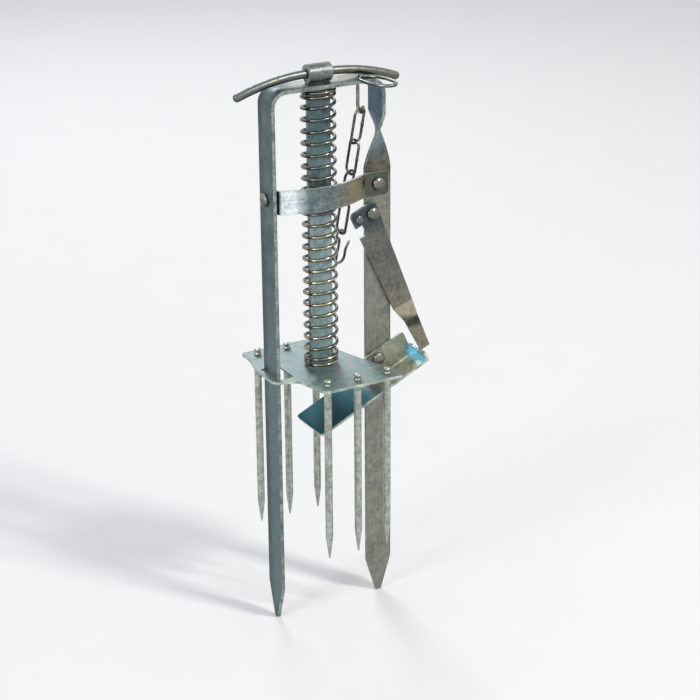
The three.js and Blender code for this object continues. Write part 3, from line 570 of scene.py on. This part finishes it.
strap = merged_copy("frame_strap", "bent_strap")
edit(strap)
join_triangles(60)
leave()
edit_where(strap, "EDGE", crosses_twist)
bpy.ops.mesh.subdivide(number_cuts=5)
leave()
finish_sheet(
    strap, "frame_strap", "frame", [frame_steel, frame_edge], strap_cut, STRAP_WEAR)


# Front band: bare, with its cut edges above and below
def band_cut(point, normal):
    return abs(normal.z) > CUT_FACING


sheet_piece(
    "front_band", "bowed_band", "frame", [band_steel, plate_edge], band_cut)


# Spike plate: all that doesn't face up or down is cut
def plate_cut(point, normal):
    return abs(normal.z) < PLATE_FACING


sheet_piece(
    "spike_plate", "stamped_plate", "plunger", [plate_steel, plate_edge],
    plate_cut)


# Plunger bar, with its rolled eye
def bar_cut(point, normal):
    return abs(normal.x) > CUT_FACING


sheet_piece(
    "plunger_bar", "flat_plunger_bar", "plunger", [bar_steel, frame_edge], bar_cut)


# Trigger arm: its sides run along its lean
ARM_LEAN = math.radians(23)
ARM_ACROSS = Vector((math.cos(ARM_LEAN), 0, math.sin(ARM_LEAN)))
ARM_ALONG = Vector((-math.sin(ARM_LEAN), 0, math.cos(ARM_LEAN)))


def arm_cut(point, normal):
    is_side = abs(normal.dot(ARM_ACROSS)) > CUT_FACING
    return is_side or abs(normal.dot(ARM_ALONG)) > ARM_END_FACING


sheet_piece("trigger_arm", "hooked_arm", "arm", [arm_steel, frame_edge], arm_cut)


# Trigger pan: a sheet on a slope, with a web, a flange and a lip
PAN_SLOPE = math.radians(25)
PAN_ALONG = Vector((math.cos(PAN_SLOPE), 0, math.sin(PAN_SLOPE)))
PAN_SQUARE = Vector((-math.sin(PAN_SLOPE), 0, math.cos(PAN_SLOPE)))
PAN_PIVOT = Vector((44, -1.6, -1.9))
# In mm from the pivot: the rims' depth, places along the slope, and heights square to it
PAN_RIM = 18.2
BEFORE_LIP, LIP_FROM = 24, 26
LIP_TOP, OVER_LIP, WEB_TOP = -8.5, -5, 3


def pan_cut(point, normal):
    """The rims, the ends but for the lip's face, and the tops of web and lip."""
    from_pivot = point - PAN_PIVOT
    along = from_pivot.dot(PAN_ALONG)
    height = from_pivot.dot(PAN_SQUARE)
    at_end = along < BEFORE_LIP or height > OVER_LIP
    at_top = height > WEB_TOP or (along > LIP_FROM and height > LIP_TOP)
    is_side = abs(normal.y) > PAN_FACING and abs(from_pivot.y) > PAN_RIM
    is_end = abs(normal.dot(PAN_ALONG)) > PAN_FACING and at_end
    return is_side or is_end or (abs(normal.dot(PAN_SQUARE)) > PAN_FACING and at_top)


sheet_piece(
    "trigger_pan", "see_saw_pan", "pan", [pan_steel, plate_edge], pan_cut, PAN_WEAR)


# Rivets: a peened head behind, a shank and a domed head in front
FRONT, LEFT = Vector((0, -1, 0)), Vector((-1, 0, 0))
DOME_STEPS, DOME_FOOT, DOME_RISE = 9, 0.1, 0.86
RIVET_SIDES = 40
# Radius and height of the head, then of the back head, and the shank's radius, in mm
STRAP_RIVET = (4.8, 3.1, 3.9, 1.6, 2.4)
CATCH_PIN = (3.1, 1.3, 3.1, 0.9, 1.8)


def rivet_rings(length, head, head_height, back, back_height, shank):
    """Rings from the back head to the top of the dome."""
    shoulder = length - head_height
    rings = [
        (0, back * 0.4),
        (back_height * 0.25, back * 0.74),
        (back_height * 0.7, back * 0.96),
        (back_height, back),
        (back_height, shank),
        (shoulder, shank),
        (shoulder, head * 0.97),
        (shoulder + head_height * DOME_FOOT, head),
    ]
    for step in range(1, DOME_STEPS):
        angle = step * QUARTER_TURN / DOME_STEPS
        height = shoulder + head_height * (DOME_FOOT + DOME_RISE * math.sin(angle))
        rings.append((height, head * math.cos(angle)))
    rings.append((length, head * 0.06))
    return rings


def rivet(node, name, body, direction, sizes):
    low, high = corners(node)
    length = abs((high - low).dot(direction))
    piece = turned(name, rivet_rings(length, *sizes), RIVET_SIDES)
    place(piece, (low + high) / 2 - direction * length / 2, direction)
    dress(piece, [rivet_steel], body, node)


rivet("band_rivet_left", "domed_rivet_band_left", "frame", LEFT, STRAP_RIVET)
rivet("band_rivet_right", "domed_rivet_band_right", "frame", FRONT, STRAP_RIVET)
rivet("arm_rivet", "domed_rivet_arm", "frame", FRONT, STRAP_RIVET)
rivet("pan_rivet", "domed_rivet_pan", "frame", FRONT, STRAP_RIVET)
rivet("catch_pin", "headed_catch_pin", "arm", FRONT, CATCH_PIN)


# Spikes: ground point, collar under the plate and a peened head above it
SPIKE_RINGS = [
    (-130, 0.2), (-129.4, 0.55), (-124, 1.25), (-113.4, 2.58), (-112, 2.65), (-1.8, 2.65),
    (-1.8, 3.0), (-1.6, 3.2), (-0.5, 3.2), (-0.3, 3.0), (-0.3, 2.1), (2.3, 2.1), (2.3, 2.45),
    (2.45, 2.6), (2.8, 2.5), (3.4, 2.05), (4.05, 1.9), (4.6, 2.05), (5.1, 2.45), (5.4, 2.6),
    (5.9, 2.5), (6.35, 2.05), (6.7, 1.0),
]
SPIKE_SIDES, SPIKES = 28, 6

spike_pattern = turned("spike_pattern", SPIKE_RINGS, SPIKE_SIDES)
for number in range(1, SPIKES + 1):
    low, high = corners(f"spike_{number}")
    spike = own_copy(spike_pattern, f"ground_spike_{number}")
    place(spike, ((low.x + high.x) / 2, (low.y + high.y) / 2, 0), UP)
    dress(spike, [spike_steel], "plunger", f"spike_{number}")
drop(spike_pattern)


# T-handle and hooks: rod and wire, made round
def round_wire(node, name, body, finish, fatten_mm):
    """Rounds a node's many-sided wire, after fattening it by what the rounding takes off."""
    piece = merged_copy(node, name)
    edit(piece)
    join_triangles(50)
    bpy.ops.transform.shrink_fatten(value=fatten_mm * MM)
    leave()
    rounding = piece.modifiers.new("round_section", "SUBSURF")
    rounding.levels = rounding.render_levels = 2
    apply_all(piece)
    bpy.ops.object.shade_smooth()
    dress(piece, [finish], body, node)


round_wire("t_handle", "drooped_t_handle", "plunger", handle_steel, 0.04)
round_wire("chain_hook", "finger_ring_hook", "hook", wire_steel, 0.1)
round_wire("safety_hook", "open_safety_hook", "safety", wire_steel, 0.08)


# Chain links: a ring drawn out along the chain, with a weld bead on one side
CHAIN_DOWN = Vector((0.4, 33, -104.5)).normalized()
CHAIN_TURN = math.radians(15)
CHAIN_ACROSS = (Vector((1, 0, 0)) - CHAIN_DOWN * CHAIN_DOWN.x).normalized()
CHAIN_ACROSS.rotate(Matrix.Rotation(-CHAIN_TURN, 3, CHAIN_DOWN))
CHAIN_THROUGH = CHAIN_DOWN.cross(CHAIN_ACROSS)
CHAIN_TOP = Vector((28.6, -6.6, 183.1))
LINK_LENGTH, LINK_WIDTH, LINK_WIRE, LINK_PITCH = 29.0, 10.5, 1.0, 24.7
LINK_BEND = LINK_WIDTH / 2 - LINK_WIRE
LINK_STRETCH = LINK_LENGTH / 2 - LINK_WIDTH / 2
BEAD_LENGTH, BEAD_RISE = 1.5, 0.2
LINKS = 4
MIDDLE_WITHIN = 0.01

bpy.ops.object.select_all(action="DESELECT")
bpy.ops.mesh.primitive_torus_add(
    major_segments=48, minor_segments=16, major_radius=LINK_BEND * MM,
    minor_radius=LINK_WIRE * MM)
link_pattern = bpy.context.object
for side in (1, -1):
    edit_where(link_pattern, "VERT", lambda point: point.x * side > MIDDLE_WITHIN)
    bpy.ops.transform.translate(value=(side * LINK_STRETCH * MM, 0, 0))
    leave()


def beside_weld(point, reach_mm):
    return abs(point.x) < reach_mm and point.y > 0


edit_where(
    link_pattern, "EDGE", lambda *ends: all(beside_weld(end, MIDDLE_WITHIN) for end in ends))
bpy.ops.mesh.bevel(offset=BEAD_LENGTH * MM, segments=4)
leave()
edit_where(link_pattern, "VERT", lambda point: beside_weld(point, BEAD_LENGTH * 0.6))
bpy.ops.transform.shrink_fatten(value=BEAD_RISE * MM)
leave()
bpy.ops.object.shade_smooth()
for number in range(LINKS):
    across = CHAIN_ACROSS if number % 2 == 0 else CHAIN_THROUGH
    middle = CHAIN_TOP + CHAIN_DOWN * (number * LINK_PITCH + LINK_LENGTH / 2 - LINK_WIRE)
    link = own_copy(link_pattern, f"oval_link_{number + 1}")
    link.data.transform(placed_axes(middle, CHAIN_DOWN, across, CHAIN_DOWN.cross(across)))
    dress(link, [wire_steel], f"link_{number + 1}", f"chain_link_{number + 1}")
drop(link_pattern)


# Main spring: a wire section screwed up the plunger at an even pitch, whose curls are then
# set to their heights, with closed ones at both ends
SPRING_LOW, SPRING_LENGTH, PLUNGER_TRAVEL = 2.3, 198.4, 86.0
SPRING_CURLS, CLOSED_PITCH, CLOSED_CURLS, EASING_CURLS = 26, 2.85, 1, 1
SPRING_STEPS, SPRING_SIDES = 40, 12
EVEN_PITCH = 10
SEAM_SHARE = 0.001


def spring_height(curl):
    """The wire's height above its lower end, with closed curls at both ends."""
    rise = SPRING_LENGTH - SPRING_WIRE
    from_end = min(curl, SPRING_CURLS - curl)
    tight = 2 * CLOSED_CURLS + EASING_CURLS
    pitch = (rise - tight * CLOSED_PITCH) / (SPRING_CURLS - tight)
    easing = min(max(from_end - CLOSED_CURLS, 0), EASING_CURLS)
    full = max(from_end - CLOSED_CURLS - EASING_CURLS, 0)
    eased = easing * CLOSED_PITCH + (pitch - CLOSED_PITCH) * easing * easing / (2 * EASING_CURLS)
    height = min(from_end, CLOSED_CURLS) * CLOSED_PITCH + eased + full * pitch
    return height if curl <= SPRING_CURLS / 2 else rise - height


def curl_of(vertex):
    """How many curls up the even winding a vertex is; a seam's heading may read as 0 or 1."""
    wound = vertex.co.z / (EVEN_PITCH * MM)
    heading = math.atan2(vertex.co.y, vertex.co.x) / FULL_TURN % 1
    on_seam = heading > 1 - SEAM_SHARE or heading < SEAM_SHARE
    return round(wound) if on_seam else round(wound - heading) + heading


bpy.ops.object.select_all(action="DESELECT")
bpy.ops.mesh.primitive_circle_add(
    vertices=SPRING_SIDES, radius=SPRING_WIRE / 2 * MM, location=(COIL_RADIUS * MM, 0, 0),
    rotation=(QUARTER_TURN, 0, 0))
spring = bpy.context.object
spring.name = "coiled_spring"
bpy.ops.object.transform_apply(location=True, rotation=True)
screw = spring.modifiers.new("winding", "SCREW")
screw.angle = FULL_TURN
screw.steps = screw.render_steps = SPRING_STEPS
screw.iterations = SPRING_CURLS
screw.use_merge_vertices = False
screw.screw_offset = EVEN_PITCH * MM
apply_all(spring)
for vertex in spring.data.vertices:
    curl = curl_of(vertex)
    base = SPRING_LOW + SPRING_WIRE / 2 + spring_height(min(max(curl, 0), SPRING_CURLS))
    vertex.co.z = vertex.co.z - curl * EVEN_PITCH * MM + base * MM
edit(spring)
bpy.ops.mesh.select_all(action="DESELECT")
bpy.ops.mesh.select_non_manifold()
bpy.ops.mesh.edge_face_add()
bpy.ops.mesh.select_all(action="SELECT")
bpy.ops.mesh.normals_make_consistent(inside=False)
leave()
bpy.ops.object.shade_smooth()
dress(spring, [spring_steel], "frame", "main_spring")
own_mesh(spring)


# Floor, backdrop and light, in metres: the floor is just under the stakes' points
FLOOR_LEVEL, FLOOR_SIDE = -188.3 * MM, 24
PAPER_TONE, PAPER_SHADE = (0.86, 0.86, 0.865), (0.84, 0.84, 0.85)
SKY_LIGHT, BACKDROP = (0.5, 0.51, 0.53), (1.0, 1.0, 1.0)
LAMP_AIM = Vector((0, 0, 0.02))

bpy.ops.object.select_all(action="DESELECT")
bpy.ops.mesh.primitive_plane_add(size=FLOOR_SIDE, location=(0, 0, FLOOR_LEVEL))
floor = bpy.context.object
floor.name = "studio_floor"
paper = Finish("studio_paper")
paper_tone = paper.mix(paper.noise(60, 2, 0.5), PAPER_TONE, PAPER_SHADE)
floor.data.materials.append(paper.shine(paper_tone, 0.9, metallic=0.0))

world = bpy.data.worlds.new("studio_world")
scene.world = world
world.use_nodes = True
sky = NodeSheet(world.node_tree)
rays = sky.node("ShaderNodeLightPath")
seen = rays["Is Camera Ray"]
for kind in ("Is Transmission Ray", "Is Glossy Ray"):
    seen = seen.maths("MAXIMUM", rays[kind])
background = sky.tree.nodes["Background"]
plug(sky.tree, background.inputs["Color"], sky.mix(seen, SKY_LIGHT, BACKDROP))


def lamp(name, place_m, size_m, watts, colour=(1, 1, 1)):
    light = bpy.data.lights.new(name, "AREA")
    light.shape = "SQUARE"
    light.size = size_m
    light.energy = watts
    light.color = colour
    holder = bpy.data.objects.new(name, light)
    holder.location = place_m
    aim = LAMP_AIM - Vector(place_m)
    holder.rotation_euler = aim.to_track_quat("-Z", "Y").to_euler()
    scene.collection.objects.link(holder)


lamp("key_lamp", (0.9, -1.5, 1.7), 0.36, 30, (1.0, 0.97, 0.92))
lamp("left_lamp", (-1.9, -0.6, 0.9), 0.7, 12, (0.92, 0.96, 1.0))
lamp("back_lamp", (0.4, 1.7, 1.3), 0.6, 12)


# Camera: the photograph's place, in millimetres, and its heading, pitch and roll
CAMERA_PLACE = Vector((-600.66, -1136.53, 531.24))
HEADING, PITCH, ROLL = math.radians(28.751), math.radians(21.994), math.radians(-0.436)
FOCAL_PIXELS, IMAGE_PIXELS, SENSOR_MM = 1985.0, 700.0, 36.0
NEAREST_SEEN, FURTHEST_SEEN = 0.05, 60

ahead = Vector((math.sin(HEADING), math.cos(HEADING), 0))
level = Vector((math.cos(HEADING), -math.sin(HEADING), 0))
forward = ahead * math.cos(PITCH) - UP * math.sin(PITCH)
upright = level.cross(forward)
camera_right = level * math.cos(ROLL) + upright * math.sin(ROLL)
camera_up = upright * math.cos(ROLL) - level * math.sin(ROLL)
lens = bpy.data.cameras.new("photo_camera")
lens.sensor_width = SENSOR_MM
lens.lens = FOCAL_PIXELS / IMAGE_PIXELS * SENSOR_MM
lens.clip_start, lens.clip_end = NEAREST_SEEN, FURTHEST_SEEN
camera = bpy.data.objects.new("photo_camera", lens)
camera.matrix_world = placed_axes(CAMERA_PLACE, camera_right, camera_up, -forward)
scene.collection.objects.link(camera)
scene.camera = camera
scene.view_settings.view_transform = "Standard"
